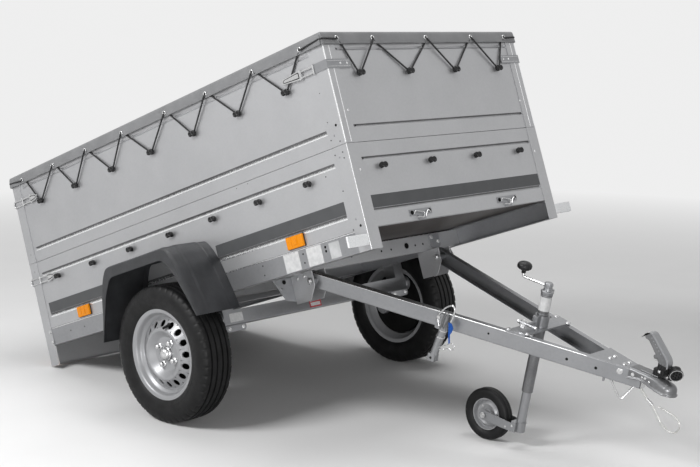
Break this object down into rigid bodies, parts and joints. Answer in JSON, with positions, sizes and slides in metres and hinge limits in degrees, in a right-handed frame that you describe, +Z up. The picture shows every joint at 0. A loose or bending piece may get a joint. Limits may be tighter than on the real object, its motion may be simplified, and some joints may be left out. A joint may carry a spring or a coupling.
{
  "type": "tipping utility trailer",
  "caption": "Single-axle galvanised tipping trailer with raised panel sides, flat cover, tailgate, A-frame drawbar, coupling head and jockey wheel, stored tipped.",
  "frame": {"origin": "centre of the coupling ball's seat in the coupling head", "axes": "+X forwards along the road, +Y to the trailer's left, +Z up"},
  "size_m": [3.1537, 1.575, 1.5395],
  "materials": {
    "galvanised_steel": "hot-dip galvanised, fine spangle",
    "black_plastic": "moulded, fine grain",
    "amber_lens": "clear amber",
    "white_lens": "clear white",
    "red_lens": "clear red and amber",
    "tyre_rubber": "rubber",
    "cover_cloth": "coated cloth, satin",
    "silver_paint": "silver paint",
    "floor_board": "film-faced plywood"
  },
  "bodies": {
    "bed": {"sill_right": "galvanised_steel", "sill_left": "galvanised_steel", "front_cross_member": "galvanised_steel", "cross_members": "galvanised_steel", "floor_panel": "floor_board", "front_post_right": "galvanised_steel", "front_post_left": "galvanised_steel", "rear_post_right": "galvanised_steel", "rear_post_left": "galvanised_steel", "side_wall_right": "galvanised_steel", "side_wall_left": "galvanised_steel", "front_wall": "galvanised_steel", "extension_side_right": "galvanised_steel", "extension_side_left": "galvanised_steel", "extension_front": "galvanised_steel", "extension_rear": "galvanised_steel", "rope_hooks": "black_plastic", "corner_latches": "galvanised_steel", "flat_cover": "cover_cloth", "tailgate_hinges": "galvanised_steel", "rear_light_board": "galvanised_steel", "side_markers": "amber_lens", "front_lamps": "white_lens", "rear_lamps": "red_lens", "axle_beam": "galvanised_steel", "swing_arm_right": "galvanised_steel", "swing_arm_left": "galvanised_steel", "mudguard_right": "black_plastic", "mudguard_left": "black_plastic", "tilt_bracket_right": "galvanised_steel", "tilt_bracket_left": "galvanised_steel"},
    "wheel_right": {"rim_right": "silver_paint", "hub_right": "galvanised_steel", "tyre_right": "tyre_rubber"},
    "wheel_left": {"rim_left": "silver_paint", "hub_left": "galvanised_steel", "tyre_left": "tyre_rubber"},
    "drawbar": {"drawbar_arm_right": "galvanised_steel", "drawbar_arm_left": "galvanised_steel", "nose_plate": "galvanised_steel", "coupler": "galvanised_steel", "coupler_handle": "galvanised_steel", "parked_plug": "black_plastic", "jockey_clamp": "galvanised_steel", "jockey_outer_tube": "galvanised_steel", "jockey_crank": "galvanised_steel", "crank_knob": "black_plastic", "tip_lock": "galvanised_steel", "prop_loop": "galvanised_steel", "cable_anchor": "galvanised_steel", "cable_ferrule": "galvanised_steel", "safety_cable": "galvanised_steel"},
    "jockey_leg": {"jockey_inner_tube": "galvanised_steel"},
    "jockey_fork": {"jockey_fork": "galvanised_steel"},
    "jockey_wheel": {"jockey_rim": "silver_paint", "jockey_tyre": "tyre_rubber"},
    "tailgate": {"tailgate": "galvanised_steel", "tailgate_hooks": "black_plastic"}
  },
  "joints": [
    {"name": "wheel_right_spin", "type": "hinge", "parent": "bed", "child": "wheel_right", "pos_m": [-1.78804, -0.688, -0.0677], "axis": [0, 1, 0], "continuous": true},
    {"name": "wheel_left_spin", "type": "hinge", "parent": "bed", "child": "wheel_left", "pos_m": [-1.78804, 0.688, -0.0677], "axis": [0, 1, 0], "continuous": true},
    {"name": "bed_tilt", "type": "hinge", "parent": "bed", "child": "drawbar", "pos_m": [-1.30644, 0, 0.24922], "axis": [0, 1, 0], "range_deg": [-30.4, 14.6]},
    {"name": "jockey_slide", "type": "slide", "parent": "drawbar", "child": "jockey_leg", "axis": [0.1874, 0, 0.9823], "range_m": [-0.1, 0.115]},
    {"name": "jockey_swivel", "type": "hinge", "parent": "jockey_leg", "child": "jockey_fork", "pos_m": [-0.6082, 0, -0.26912], "axis": [0.1874, 0, 0.9823], "continuous": true},
    {"name": "jockey_wheel_spin", "type": "hinge", "parent": "jockey_fork", "child": "jockey_wheel", "pos_m": [-0.75456, 0, -0.2412], "axis": [0, 1, 0], "continuous": true},
    {"name": "tailgate_hinge", "type": "hinge", "parent": "bed", "child": "tailgate", "pos_m": [-2.86259, 0, -0.17115], "axis": [0, -1, 0], "range_deg": [0, 150]}
  ]
}
